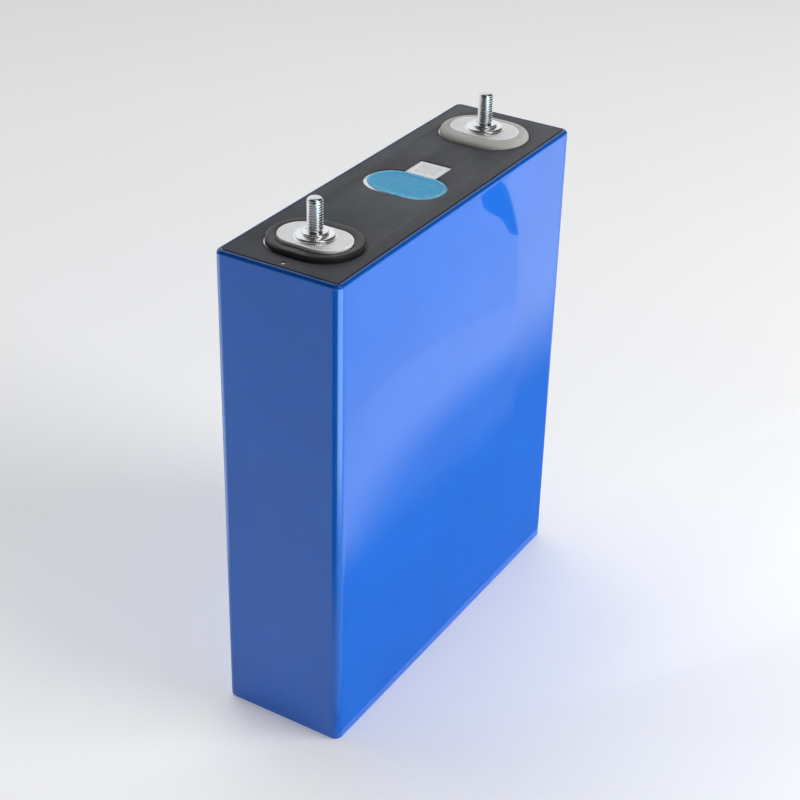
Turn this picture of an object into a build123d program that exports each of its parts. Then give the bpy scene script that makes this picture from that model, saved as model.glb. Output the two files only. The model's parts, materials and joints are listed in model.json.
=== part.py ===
from build123d import *
import os

# A prismatic lithium cell, in millimetres. +X runs along the cell's length, from the negative
# terminal to the positive one, +Y runs through its thickness and +Z is up. The origin is the
# middle of the bottom face.

# Driving dimensions
CELL_LENGTH = 174.0
CELL_THICKNESS = 54.0
CELL_HEIGHT = 204.0
STUD_TOP = 221.8
CORNER_RADIUS = 3.2
TERMINAL_OFFSET = 62.0

# Outer film
FILM_THICKNESS = 0.3
FILM_BOTTOM_RADIUS = 1.2
FILM_TOP_RADIUS = 1.5
FILM_LIP = 1.9

# Case and lid
CASE_WALL = 0.8
CASE_BOTTOM = 1.2
LID_THICKNESS = 2.5
LID_HOLE_RADIUS = 7.0

# Insulating patch on the lid
PATCH_THICKNESS = 0.4
PATCH_GAP = 0.15
PATCH_TERMINAL_GAP = 0.4
CODE_WINDOW_END = 24.0
CODE_WINDOW_WIDTH = 14.4
INDEX_HOLE_OFFSET = 82.0
INDEX_HOLE_RADIUS = 1.1

# Burst vent, at the middle of the lid. Each size is (along X, along Y) of an oval.
VENT_WINDOW = (22.4, 34.4)
VENT_FILM = (21.4, 33.4)
VENT_FILM_SHIFT = 0.3
VENT_FILM_THICKNESS = 0.2
VENT_DISC = (19.0, 30.0)
VENT_OPENING = (16.0, 27.0)
VENT_DISC_THICKNESS = 0.8
VENT_MEMBRANE = 0.25
VENT_SCORE = (11.0, 22.0)
VENT_SCORE_WIDTH = 0.4
VENT_SCORE_DEPTH = 0.1
VENT_SEAT_DEPTH = 1.0

# Filling port, under the patch
FILL_PORT_X = -30.0
FILL_CAP_RADIUS = 4.5
FILL_CAP_THICKNESS = 0.9
FILL_PLUG_HEAD_RADIUS = 2.5
FILL_PLUG_HEAD_THICKNESS = 0.8
FILL_PLUG_RADIUS = 1.5

# Terminals. Each size is (along X, along Y) of an oval.
INSULATOR = (30.0, 37.5)
INSULATOR_HEIGHT = {"negative": 2.4, "positive": 2.8}
INSULATOR_FLOOR = 0.7
INSULATOR_EDGE = {"negative": 0.9, "positive": 2.2}
PLATE = (19.0, 29.6)
PLATE_GAP = 0.1
PLATE_RISE = 2.6
PLATE_CHAMFER = 0.4
POLE_RADIUS = 5.0
POLE_FLANGE_RADIUS = 9.0
POLE_FLANGE_THICKNESS = 1.2
POLE_RECESS = 0.4
SEAL_THICKNESS = 1.0
BASE_RADIUS = 7.5
BASE_THICKNESS = 1.2
BOSS_RADIUS = 5.0
BOSS_HEIGHT = 1.0
BASE_CHAMFER = 0.3
BOSS_RELIEF = 0.35
STUD_RADIUS = 3.0
STUD_ROOT_RADIUS = 2.8
STUD_TIP_RADIUS = 1.5

# Under the lid
LOWER_INSULATOR_THICKNESS = 2.0
LOWER_INSULATOR_SPLIT = 0.4
LOWER_INSULATOR_RIM = 1.2
LOWER_INSULATOR_RIM_DEPTH = 3.5
VENT_SLOT_PLACES = (3.2, 6.8)
VENT_SLOT = (2.0, 22.0)
FILL_PASSAGE_RADIUS = 2.5
COLLECTOR = (44.0, 28.0)
COLLECTOR_CENTRE = 60.0
COLLECTOR_THICKNESS = 1.2
COLLECTOR_CORNER = 3.0
COLLECTOR_NOTCH = (14.0, 5.0)
TAB_THICKNESS = 1.0
TAB_WIDTH = 36.0
TAB_CENTRE = 58.0
TAB_REACH = 3.0
TAB_BEND_RADIUS = 0.9
WELD_TAPE_THICKNESS = 0.2
WELD_TAPE = (38.0, 23.0)

# Windings and what holds them
WINDING_LENGTH = 168.0
WINDING_THICKNESS = 24.9
WINDING_HEIGHT = 185.0
WINDING_SLIT = 0.8
TAPE_THICKNESS = 0.15
TAPE_WIDTH = 20.0
TAPE_PLACES = (30.0, 95.0, 160.0)
BAG_CLEARANCE = 0.3
BAG_THICKNESS = 0.2
BAG_LAP = 2.5
SUPPORT_THICKNESS = 1.0
SUPPORT_MARGIN = 1.2
SUPPORT_CORNER = 4.0
SUPPORT_HOLE_RADIUS = 2.0
SUPPORT_HOLE_PITCH = (24.0, 24.0)
SUPPORT_HOLE_COUNT = (7, 2)

# Levels above the bottom face
LID_TOP = CELL_HEIGHT - PATCH_THICKNESS
LID_BOTTOM = LID_TOP - LID_THICKNESS
FILM_TOP = LID_TOP + FILM_THICKNESS
CASE_FLOOR = FILM_THICKNESS + CASE_BOTTOM
PLATE_TOP = CELL_HEIGHT + PLATE_RISE
PLATE_BOTTOM = LID_TOP + INSULATOR_FLOOR
BASE_TOP = PLATE_TOP + BASE_THICKNESS
BOSS_TOP = BASE_TOP + BOSS_HEIGHT
SEAL_BOTTOM = LID_BOTTOM - SEAL_THICKNESS
POLE_BOTTOM = SEAL_BOTTOM - POLE_FLANGE_THICKNESS
LOWER_INSULATOR_BOTTOM = LID_BOTTOM - LOWER_INSULATOR_THICKNESS
LOWER_INSULATOR_RIM_BOTTOM = LOWER_INSULATOR_BOTTOM - LOWER_INSULATOR_RIM_DEPTH
COLLECTOR_BOTTOM = POLE_BOTTOM - COLLECTOR_THICKNESS
TAB_BOTTOM = COLLECTOR_BOTTOM - TAB_THICKNESS
BAG_FLOOR = CASE_FLOOR + BAG_THICKNESS
WINDING_BOTTOM = BAG_FLOOR + SUPPORT_THICKNESS
WINDING_TOP = WINDING_BOTTOM + WINDING_HEIGHT

SIDES = {"negative": -1, "positive": 1}


def slab(inset, low, high):
    """The cell's outline, drawn in by inset on every side, as an upright prism."""
    outline = RectangleRounded(
        CELL_LENGTH - 2 * inset,
        CELL_THICKNESS - 2 * inset,
        max(CORNER_RADIUS - inset, 1.0),
    )
    return Pos(0, 0, low) * extrude(outline, high - low)


def oval(size, low, high, x=0.0):
    """An upright prism with round ends, size (along X, along Y), longer along Y."""
    outline = SlotOverall(size[1], size[0], rotation=90)
    return Pos(x, 0, low) * extrude(outline, high - low)


def disc(radius, low, high, x=0.0):
    return Pos(x, 0, low) * extrude(Circle(radius), high - low)


def block(size, low, high, x=0.0, corner=0.0):
    """An upright rectangular prism, size (along X, along Y)."""
    outline = RectangleRounded(*size, corner) if corner else Rectangle(*size)
    return Pos(x, 0, low) * extrude(outline, high - low)


def grown(size, margin):
    return size[0] + 2 * margin, size[1] + 2 * margin


def top_edges(solid):
    """The edges round the highest face."""
    return solid.faces().sort_by(Axis.Z)[-1].outer_wire().edges()


def bottom_edges(solid):
    return solid.faces().sort_by(Axis.Z)[0].outer_wire().edges()


def case_envelope():
    """The case's outer form with the lid in place, which the film is drawn over."""
    body = slab(FILM_THICKNESS, FILM_THICKNESS, LID_TOP)
    body = fillet(bottom_edges(body), FILM_BOTTOM_RADIUS - FILM_THICKNESS)
    return fillet(top_edges(body), FILM_TOP_RADIUS - FILM_THICKNESS)


def outer_film_wrap():
    """The film: four walls, a closed bottom and a narrow lip folded over the case's rim."""
    body = slab(0, 0, FILM_TOP)
    body = fillet(bottom_edges(body), FILM_BOTTOM_RADIUS)
    body = fillet(top_edges(body), FILM_TOP_RADIUS)
    return body - case_envelope() - slab(FILM_LIP, LID_TOP, FILM_TOP)


def case_can():
    return case_envelope() - slab(FILM_THICKNESS + CASE_WALL, CASE_FLOOR, LID_TOP)


def lid_plate():
    """The lid: two terminal holes, a stepped vent opening and a stepped filling port."""
    plate = slab(FILM_THICKNESS + CASE_WALL, LID_BOTTOM, LID_TOP) & case_envelope()
    for side in SIDES.values():
        plate -= disc(LID_HOLE_RADIUS, LID_BOTTOM, LID_TOP, side * TERMINAL_OFFSET)
    plate -= oval(VENT_OPENING, LID_BOTTOM, LID_TOP)
    plate -= oval(VENT_DISC, LID_TOP - VENT_SEAT_DEPTH, LID_TOP)
    cap_seat = LID_TOP - FILL_CAP_THICKNESS
    head_seat = cap_seat - FILL_PLUG_HEAD_THICKNESS
    plate -= disc(FILL_CAP_RADIUS, cap_seat, LID_TOP, FILL_PORT_X)
    plate -= disc(FILL_PLUG_HEAD_RADIUS, head_seat, cap_seat, FILL_PORT_X)
    return plate - disc(FILL_PLUG_RADIUS, LID_BOTTOM, head_seat, FILL_PORT_X)


def top_insulating_patch():
    """The sheet on the lid, open round the terminals, the vent, the code and an index hole."""
    patch = slab(FILM_LIP + PATCH_GAP, LID_TOP, CELL_HEIGHT)
    for side in SIDES.values():
        window = grown(INSULATOR, PATCH_TERMINAL_GAP)
        patch -= oval(window, LID_TOP, CELL_HEIGHT, side * TERMINAL_OFFSET)
    patch -= oval(VENT_WINDOW, LID_TOP, CELL_HEIGHT)
    code_window = (CODE_WINDOW_END, CODE_WINDOW_WIDTH)
    patch -= block(code_window, LID_TOP, CELL_HEIGHT, CODE_WINDOW_END / 2)
    return patch - disc(INDEX_HOLE_RADIUS, LID_TOP, CELL_HEIGHT, -INDEX_HOLE_OFFSET)


def vent_burst_disc():
    """A rim welded in the lid's step, round a thin membrane with a scored oval line."""
    low = LID_TOP - VENT_SEAT_DEPTH
    high = low + VENT_DISC_THICKNESS
    membrane_top = low + VENT_MEMBRANE
    plate = oval(VENT_DISC, low, high)
    plate -= oval(VENT_OPENING, membrane_top, high)
    score_floor = membrane_top - VENT_SCORE_DEPTH
    score = oval(VENT_SCORE, score_floor, membrane_top)
    score -= oval(grown(VENT_SCORE, -VENT_SCORE_WIDTH), score_floor, membrane_top)
    return plate - score


def vent_protective_film():
    return oval(VENT_FILM, LID_TOP, LID_TOP + VENT_FILM_THICKNESS, VENT_FILM_SHIFT)


def fill_port_cap():
    return disc(FILL_CAP_RADIUS, LID_TOP - FILL_CAP_THICKNESS, LID_TOP, FILL_PORT_X)


def fill_port_plug():
    """A nail with a broad head, pressed in the port under the cap."""
    head_top = LID_TOP - FILL_CAP_THICKNESS
    head_bottom = head_top - FILL_PLUG_HEAD_THICKNESS
    head = disc(FILL_PLUG_HEAD_RADIUS, head_bottom, head_top, FILL_PORT_X)
    return head + disc(FILL_PLUG_RADIUS, LID_BOTTOM, head_bottom, FILL_PORT_X)


def upper_insulator(side, height, edge):
    """The moulding round a terminal plate: an outer rim, a thin floor and the pole's hole."""
    x = side * TERMINAL_OFFSET
    high = LID_TOP + height
    body = oval(INSULATOR, LID_TOP, high, x)
    body = fillet(top_edges(body), edge)
    body -= oval(grown(PLATE, PLATE_GAP), PLATE_BOTTOM, high, x)
    return body - disc(POLE_RADIUS, LID_TOP, PLATE_BOTTOM, x)


def terminal_plate(side):
    x = side * TERMINAL_OFFSET
    plate = oval(PLATE, PLATE_BOTTOM, PLATE_TOP, x)
    plate = chamfer(top_edges(plate), PLATE_CHAMFER)
    return plate - disc(POLE_RADIUS, PLATE_BOTTOM, PLATE_TOP, x)


def terminal_pole(side):
    """The rivet that carries current through the lid, from its flange up into the plate."""
    x = side * TERMINAL_OFFSET
    flange = disc(POLE_FLANGE_RADIUS, POLE_BOTTOM, SEAL_BOTTOM, x)
    return flange + disc(POLE_RADIUS, SEAL_BOTTOM, PLATE_TOP - POLE_RECESS, x)


def seal_ring(side):
    """A sleeve in the lid's hole with a flange squeezed under the lid."""
    x = side * TERMINAL_OFFSET
    ring = disc(LID_HOLE_RADIUS, LID_BOTTOM, LID_TOP, x)
    ring += disc(POLE_FLANGE_RADIUS, SEAL_BOTTOM, LID_BOTTOM, x)
    return ring - disc(POLE_RADIUS, SEAL_BOTTOM, LID_TOP, x)


def stud_base(side):
    """The disc and boss that the stud's root is pressed in, with a relief round the shank."""
    x = side * TERMINAL_OFFSET
    plate = chamfer(top_edges(disc(BASE_RADIUS, PLATE_TOP, BASE_TOP, x)), BASE_CHAMFER)
    boss = chamfer(top_edges(disc(BOSS_RADIUS, BASE_TOP, BOSS_TOP, x)), BASE_CHAMFER)
    base = plate + boss - disc(STUD_ROOT_RADIUS, PLATE_TOP, BOSS_TOP, x)
    bore_edge = base.faces().sort_by(Axis.Z)[-1].inner_wires()[0].edges()
    return chamfer(bore_edge, BOSS_RELIEF)


def stud(side):
    """A plain shank of the thread's outer size, with a rounded tip and a slimmer root."""
    x = side * TERMINAL_OFFSET
    shank = disc(STUD_RADIUS, BOSS_TOP, STUD_TOP, x)
    shank = fillet(top_edges(shank), STUD_TIP_RADIUS)
    return shank + disc(STUD_ROOT_RADIUS, PLATE_TOP, BOSS_TOP, x)


def lower_insulator(side):
    """Half of the tray under the lid, with a rim, the seal's hole and half the vent's slots."""
    inset = FILM_THICKNESS + CASE_WALL + BAG_CLEARANCE + BAG_THICKNESS
    inner_inset = inset + LOWER_INSULATOR_RIM
    tray = slab(inset, LOWER_INSULATOR_RIM_BOTTOM, LID_BOTTOM)
    tray -= slab(inner_inset, LOWER_INSULATOR_RIM_BOTTOM, LOWER_INSULATOR_BOTTOM)
    half_size = (CELL_LENGTH / 2, CELL_THICKNESS)
    half_centre = side * (LOWER_INSULATOR_SPLIT + CELL_LENGTH / 4)
    tray &= block(half_size, LOWER_INSULATOR_RIM_BOTTOM, LID_BOTTOM, half_centre)
    seal_hole = disc(POLE_FLANGE_RADIUS, LOWER_INSULATOR_BOTTOM, LID_BOTTOM)
    tray -= Pos(side * TERMINAL_OFFSET, 0, 0) * seal_hole
    for place in VENT_SLOT_PLACES:
        tray -= oval(VENT_SLOT, LOWER_INSULATOR_BOTTOM, LID_BOTTOM, side * place)
    if side * FILL_PORT_X > 0:
        passage = disc(FILL_PASSAGE_RADIUS, LOWER_INSULATOR_BOTTOM, LID_BOTTOM, FILL_PORT_X)
        tray -= passage
    return tray


def current_collector(side):
    """A plate under the pole's flange, notched between its two welding wings."""
    x = side * COLLECTOR_CENTRE
    body = block(COLLECTOR, COLLECTOR_BOTTOM, POLE_BOTTOM, x, COLLECTOR_CORNER)
    inner_end = COLLECTOR_CENTRE - COLLECTOR[0] / 2
    notch_x = side * (inner_end + COLLECTOR_NOTCH[0] / 2)
    return body - block(COLLECTOR_NOTCH, COLLECTOR_BOTTOM, POLE_BOTTOM, notch_x)


def foil_tabs(side):
    """One pack of foils from each winding, bent inwards and welded under the collector."""
    middle = WINDING_THICKNESS / 2
    outer = middle + TAB_THICKNESS / 2
    inner = middle - TAB_THICKNESS / 2
    outline = Polyline(
        (outer, WINDING_TOP),
        (outer, COLLECTOR_BOTTOM),
        (TAB_REACH, COLLECTOR_BOTTOM),
        (TAB_REACH, TAB_BOTTOM),
        (inner, TAB_BOTTOM),
        (inner, WINDING_TOP),
        close=True,
    )
    profile = make_face(outline)
    bend = max(profile.vertices(), key=lambda corner: corner.X + corner.Y)
    profile = fillet(bend, TAB_BEND_RADIUS)
    start = side * TAB_CENTRE - TAB_WIDTH / 2
    tab = Plane((start, 0, 0), x_dir=(0, 1, 0), z_dir=(1, 0, 0)) * extrude(profile, TAB_WIDTH)
    return Compound(children=[tab.solid(), mirror(tab, Plane.XZ).solid()])


def tab_weld_tape(side):
    low = TAB_BOTTOM - WELD_TAPE_THICKNESS
    return block(WELD_TAPE, low, TAB_BOTTOM, side * TAB_CENTRE)


def winding(side):
    """A flat wound electrode roll standing on end, with the slit where its former was."""
    y = side * WINDING_THICKNESS / 2
    roll = SlotOverall(WINDING_LENGTH, WINDING_THICKNESS)
    slit = SlotOverall(WINDING_LENGTH - WINDING_THICKNESS, WINDING_SLIT)
    return Pos(0, y, WINDING_BOTTOM) * extrude(roll - slit, WINDING_HEIGHT)


def winding_tapes():
    """Three bands of tape that bind the two windings together."""
    pair = (WINDING_LENGTH, 2 * WINDING_THICKNESS)
    corner = WINDING_THICKNESS / 2
    outline = RectangleRounded(*grown(pair, TAPE_THICKNESS), corner + TAPE_THICKNESS)
    band = extrude(outline - RectangleRounded(*pair, corner), TAPE_WIDTH)
    return Compound(children=[(Pos(0, 0, z) * band).solid() for z in TAPE_PLACES])


def insulating_bag():
    """The clear bag round the windings, open at the top and welded to the lower insulators."""
    inset = FILM_THICKNESS + CASE_WALL + BAG_CLEARANCE
    high = LOWER_INSULATOR_RIM_BOTTOM + BAG_LAP
    return slab(inset, CASE_FLOOR, high) - slab(inset + BAG_THICKNESS, BAG_FLOOR, high)


def bottom_support_plate():
    """The perforated plate that the windings stand on."""
    size = (WINDING_LENGTH, 2 * (WINDING_THICKNESS - SUPPORT_MARGIN))
    plate = block(size, BAG_FLOOR, WINDING_BOTTOM, corner=SUPPORT_CORNER)
    hole = disc(SUPPORT_HOLE_RADIUS, BAG_FLOOR, WINDING_BOTTOM)
    for place in GridLocations(*SUPPORT_HOLE_PITCH, *SUPPORT_HOLE_COUNT):
        plate -= place * hole
    return plate


def nodes():
    """Every separate piece by its name."""
    made = {
        "outer_film_wrap": outer_film_wrap(),
        "case_can": case_can(),
        "lid_plate": lid_plate(),
        "top_insulating_patch": top_insulating_patch(),
        "vent_burst_disc": vent_burst_disc(),
        "vent_protective_film": vent_protective_film(),
        "fill_port_cap": fill_port_cap(),
        "fill_port_plug": fill_port_plug(),
        "winding_front": winding(-1),
        "winding_rear": winding(1),
        "winding_tapes": winding_tapes(),
        "insulating_bag": insulating_bag(),
        "bottom_support_plate": bottom_support_plate(),
    }
    for name, side in SIDES.items():
        height = INSULATOR_HEIGHT[name]
        edge = INSULATOR_EDGE[name]
        made[f"{name}_upper_insulator"] = upper_insulator(side, height, edge)
        made[f"{name}_terminal_plate"] = terminal_plate(side)
        made[f"{name}_terminal_pole"] = terminal_pole(side)
        made[f"{name}_seal_ring"] = seal_ring(side)
        made[f"{name}_stud_base"] = stud_base(side)
        made[f"{name}_stud"] = stud(side)
        made[f"{name}_lower_insulator"] = lower_insulator(side)
        made[f"{name}_current_collector"] = current_collector(side)
        made[f"{name}_foil_tabs"] = foil_tabs(side)
        made[f"{name}_tab_weld_tape"] = tab_weld_tape(side)
    return made


os.makedirs("parts", exist_ok=True)
for node, shape in nodes().items():
    export_step(shape, f"parts/{node}.step")
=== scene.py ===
import json
import math

import bmesh
import bpy
import numpy as np
from mathutils import Matrix, Vector, noise


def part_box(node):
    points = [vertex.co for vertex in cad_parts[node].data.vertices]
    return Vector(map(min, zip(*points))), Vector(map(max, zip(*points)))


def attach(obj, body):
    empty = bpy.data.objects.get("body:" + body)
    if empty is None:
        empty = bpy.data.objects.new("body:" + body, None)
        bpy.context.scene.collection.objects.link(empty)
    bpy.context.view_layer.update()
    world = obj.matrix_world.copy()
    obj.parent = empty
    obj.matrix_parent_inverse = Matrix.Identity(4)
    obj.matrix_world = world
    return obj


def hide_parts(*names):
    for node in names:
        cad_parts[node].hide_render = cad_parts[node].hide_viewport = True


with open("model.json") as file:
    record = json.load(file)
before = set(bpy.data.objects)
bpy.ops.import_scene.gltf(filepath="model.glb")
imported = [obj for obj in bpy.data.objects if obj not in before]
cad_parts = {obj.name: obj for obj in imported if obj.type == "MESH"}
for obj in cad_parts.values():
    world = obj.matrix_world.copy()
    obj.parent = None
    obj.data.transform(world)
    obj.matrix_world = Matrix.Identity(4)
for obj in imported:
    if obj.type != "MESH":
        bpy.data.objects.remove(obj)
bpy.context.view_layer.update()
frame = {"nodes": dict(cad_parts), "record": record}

MM = 0.001
SIDES = ("negative", "positive")
SEED = 20
NOISE_SPREAD = (0.3, 0.7)

# ---- Places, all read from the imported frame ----
FILM_LOW, FILM_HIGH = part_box("outer_film_wrap")
LID_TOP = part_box("lid_plate")[1].z
PATCH_LOW, PATCH_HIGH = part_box("top_insulating_patch")
VENT_LOW, VENT_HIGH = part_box("vent_protective_film")
HALF_LENGTH = FILM_HIGH.x
HALF_WIDTH = FILM_HIGH.y

# The cell's outline
CORNER = 3.2 * MM
FILM_THICKNESS = 0.3 * MM
FILM_LIP = 1.9 * MM
FILM_FOOT = 1.2 * MM
FILM_RIM = 1.5 * MM
PATCH_INSET = HALF_LENGTH - PATCH_HIGH.x


# ---- Materials ----
class Finish:
    """A procedural node material in the making. Places are the part's own, in metres."""

    def __init__(self, name, **values):
        self.material = bpy.data.materials.new(name)
        self.material.use_nodes = True
        self.tree = self.material.node_tree
        self.shader = self.tree.nodes["Principled BSDF"]
        self.place = self.add("TexCoord").outputs["Object"]
        self.normal = None
        for socket, value in values.items():
            self.set(socket.replace("_", " "), value)

    def add(self, kind, **properties):
        node = self.tree.nodes.new("ShaderNode" + kind)
        for key, value in properties.items():
            setattr(node, key, value)
        return node

    def feed(self, socket, value):
        if isinstance(value, bpy.types.NodeSocket):
            self.tree.links.new(value, socket)
        else:
            socket.default_value = (*value, 1.0) if isinstance(value, tuple) and len(value) == 3 else value

    def set(self, name, value):
        """Sets or links one of the shader's own sockets."""
        self.feed(self.shader.inputs[name], value)

    def grain(self, size, stretch=(1, 1, 1), detail=3.0, rough=0.55, shift=0.0):
        """Soft noise with features about size across, drawn out along an axis by stretch."""
        mapping = self.add("Mapping")
        self.feed(mapping.inputs["Vector"], self.place)
        mapping.inputs["Scale"].default_value = [1 / (size * s) for s in stretch]
        mapping.inputs["Location"].default_value = (shift, shift * 0.7, -shift)
        texture = self.add("TexNoise")
        self.feed(texture.inputs["Vector"], mapping.outputs["Vector"])
        texture.inputs["Scale"].default_value = 1.0
        texture.inputs["Detail"].default_value = detail
        texture.inputs["Roughness"].default_value = rough
        return texture.outputs["Fac"]

    def cells(self, size, feature="F1", shift=0.0):
        """Distance to scattered points about size apart."""
        mapping = self.add("Mapping")
        self.feed(mapping.inputs["Vector"], self.place)
        mapping.inputs["Scale"].default_value = (1 / size,) * 3
        mapping.inputs["Location"].default_value = (shift, -shift, shift)
        texture = self.add("TexVoronoi", feature=feature)
        self.feed(texture.inputs["Vector"], mapping.outputs["Vector"])
        texture.inputs["Scale"].default_value = 1.0
        return texture.outputs["Distance"]

    def math(self, operation, a, b=0.0):
        node = self.add("Math", operation=operation)
        self.feed(node.inputs[0], a)
        self.feed(node.inputs[1], b)
        return node.outputs[0]

    def times(self, a, b):
        return self.math("MULTIPLY", a, b)

    def length(self, x, y):
        xx, yy = self.times(x, x), self.times(y, y)
        return self.math("SQRT", self.math("ADD", xx, yy))

    def fit(self, value, low, high, out_low=0.0, out_high=1.0):
        """Maps value smoothly from low..high to out_low..out_high and holds it there."""
        node = self.add("MapRange", interpolation_type="SMOOTHSTEP")
        for socket, v in zip(node.inputs, (value, low, high, out_low, out_high)):
            self.feed(socket, v)
        return node.outputs["Result"]

    def spread(self, noise, out_low=0.0, out_high=1.0):
        """Maps the usual spread of a noise to out_low..out_high."""
        return self.fit(noise, *NOISE_SPREAD, out_low, out_high)

    def mix(self, factor, a, b):
        """A colour from a to b by factor."""
        node = self.add("Mix", data_type="RGBA", clamp_factor=True)
        self.feed(node.inputs["Factor"], factor)
        self.feed(node.inputs[6], a)
        self.feed(node.inputs[7], b)
        return node.outputs[2]

    def axis(self, index):
        if not hasattr(self, "split"):
            self.split = self.add("SeparateXYZ")
            self.feed(self.split.inputs[0], self.place)
        return self.split.outputs[index]

    def away(self, index):
        """Distance from the cell's middle, along one axis."""
        return self.math("ABSOLUTE", self.axis(index))

    def terminal_radius(self):
        """Distance from the nearer stud's axis."""
        pitch = (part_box("positive_stud")[0].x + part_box("positive_stud")[1].x) / 2
        return self.length(self.math("SUBTRACT", self.away(0), pitch), self.axis(1))

    def oval_reach(self, x, half):
        """Distance from the middle line of an upright oval of the given half size, at an x offset."""
        past_line = self.math("SUBTRACT", self.away(1), half.y - half.x)
        return self.length(x, self.math("MAXIMUM", past_line, 0.0))

    def terminal_oval(self, node):
        """Distance from a terminal oval's middle line, and the oval's half width."""
        low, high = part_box(node)
        x = self.math("SUBTRACT", self.away(0), abs(low.x + high.x) / 2)
        half = (high - low) / 2
        return self.oval_reach(x, half), half.x

    def rim_inset(self):
        """How far a place lies in from the cell's nearest side."""
        gaps = [self.math("SUBTRACT", half, self.away(i))
                for i, half in enumerate((HALF_LENGTH, HALF_WIDTH))]
        return self.math("MINIMUM", *gaps)

    def bump(self, height, depth, strength=1.0):
        """Adds relief: height 0..1 stands for depth in metres."""
        node = self.add("Bump")
        node.inputs["Strength"].default_value = strength
        node.inputs["Distance"].default_value = depth
        self.feed(node.inputs["Height"], height)
        if self.normal is not None:
            self.feed(node.inputs["Normal"], self.normal)
        self.normal = node.outputs["Normal"]
        self.set("Normal", self.normal)


def film_finish():
    """Glossy blue polyester over aluminium: an even deep colour under a clear smooth skin."""
    f = Finish("film_blue", Specular_IOR_Level=0.0, Coat_Weight=1.0, Coat_Roughness=0.03, Coat_IOR=1.55)
    drift = f.grain(34 * MM, detail=2.0)
    colour = f.mix(f.spread(drift), (0.0015, 0.134, 0.655), (0.0025, 0.146, 0.70))
    mottle = f.grain(1.3 * MM, detail=4.0, shift=3.1)
    colour = f.mix(f.fit(mottle, 0.35, 0.75, 0.0, 0.14), colour, (0.006, 0.175, 0.76))
    # Painted shade: the film colour darkens over the top rim's rounding.
    drawn = f.fit(f.axis(2), FILM_HIGH.z - 1.8 * MM, FILM_HIGH.z - 0.3 * MM, 0.0, 0.66)
    colour = f.mix(drawn, colour, (0.002, 0.040, 0.160))
    # Painted shadow: near-black at the lip's inner edge, in the gap beside the sheet.
    lip_gap_shadow = f.times(f.fit(f.rim_inset(), FILM_LIP - 0.55 * MM, FILM_LIP - 0.2 * MM), drawn)
    colour = f.mix(lip_gap_shadow, colour, (0.001, 0.008, 0.030))
    # Rubbed patches along the upright corners.
    x = f.fit(f.away(0), HALF_LENGTH - 2.6 * MM, HALF_LENGTH - 0.4 * MM)
    y = f.fit(f.away(1), HALF_WIDTH - 2.6 * MM, HALF_WIDTH - 0.4 * MM)
    corner = f.times(x, y)
    rub = f.fit(f.grain(5 * MM, stretch=(1, 1, 3), detail=5.0, shift=9.0), 0.48, 0.72)
    worn = f.times(corner, rub)
    colour = f.mix(f.times(worn, 0.35), colour, (0.06, 0.20, 0.72))
    f.set("Base Color", colour)
    rough = f.spread(f.grain(11 * MM, detail=5.0, shift=5.0), 0.30, 0.42)
    f.set("Roughness", f.math("ADD", rough, f.times(worn, 0.2)))
    f.bump(f.grain(0.9 * MM, detail=2.0, shift=1.0), 0.0016 * MM)
    scratch = f.fit(f.grain(0.5 * MM, stretch=(1, 1, 60), detail=1.0, shift=12.0), 0.70, 0.76)
    f.bump(scratch, 0.002 * MM, 0.35)
    return f.material


def patch_finish():
    """Charcoal insulating sheet with a fine mineral grain, a little dust and faint handling marks."""
    f = Finish("patch_charcoal", Specular_IOR_Level=0.42)
    fine = f.grain(0.24 * MM, detail=2.0)
    broad = f.grain(9 * MM, detail=4.0, shift=2.0)
    colour = f.mix(f.fit(fine, 0.32, 0.68), (0.042, 0.0445, 0.055), (0.064, 0.0668, 0.079))
    colour = f.mix(f.fit(broad, 0.35, 0.7, 0.0, 0.35), colour, (0.061, 0.063, 0.071))
    mottle = f.grain(1.1 * MM, detail=3.0, rough=0.7, shift=15.0)
    colour = f.mix(f.fit(mottle, 0.32, 0.68, 0.30, 0.0), colour, (0.026, 0.027, 0.032))
    speck = f.fit(f.cells(1.1 * MM, shift=4.0), 0.10, 0.05)
    chosen = f.fit(f.grain(4 * MM, detail=2.0, shift=7.0), 0.56, 0.62)
    colour = f.mix(f.times(f.times(speck, chosen), 0.5), colour, (0.13, 0.125, 0.12))
    # Painted shadow: the sheet darkens along its outer edge, by the film lip.
    edge = f.fit(f.rim_inset(), PATCH_INSET + 0.7 * MM, PATCH_INSET + 0.2 * MM, 0.0, 0.8)
    colour = f.mix(edge, colour, (0.006, 0.009, 0.020))
    # Painted shadow round the foot of each insulator.
    reach, half = f.terminal_oval("negative_upper_insulator")
    foot = f.fit(reach, half + 1.5 * MM, half + 0.5 * MM, 0.0, 0.75)
    colour = f.mix(foot, colour, (0.010, 0.010, 0.012))
    f.set("Base Color", colour)
    wiped = f.grain(8 * MM, stretch=(2, 1, 1), detail=5.0, shift=11.0)
    f.set("Roughness", f.spread(wiped, 0.52, 0.60))
    f.bump(fine, 0.012 * MM, 0.6)
    f.bump(f.grain(2.2 * MM, detail=2.0, shift=6.0), 0.010 * MM, 0.5)
    return f.material


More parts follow.
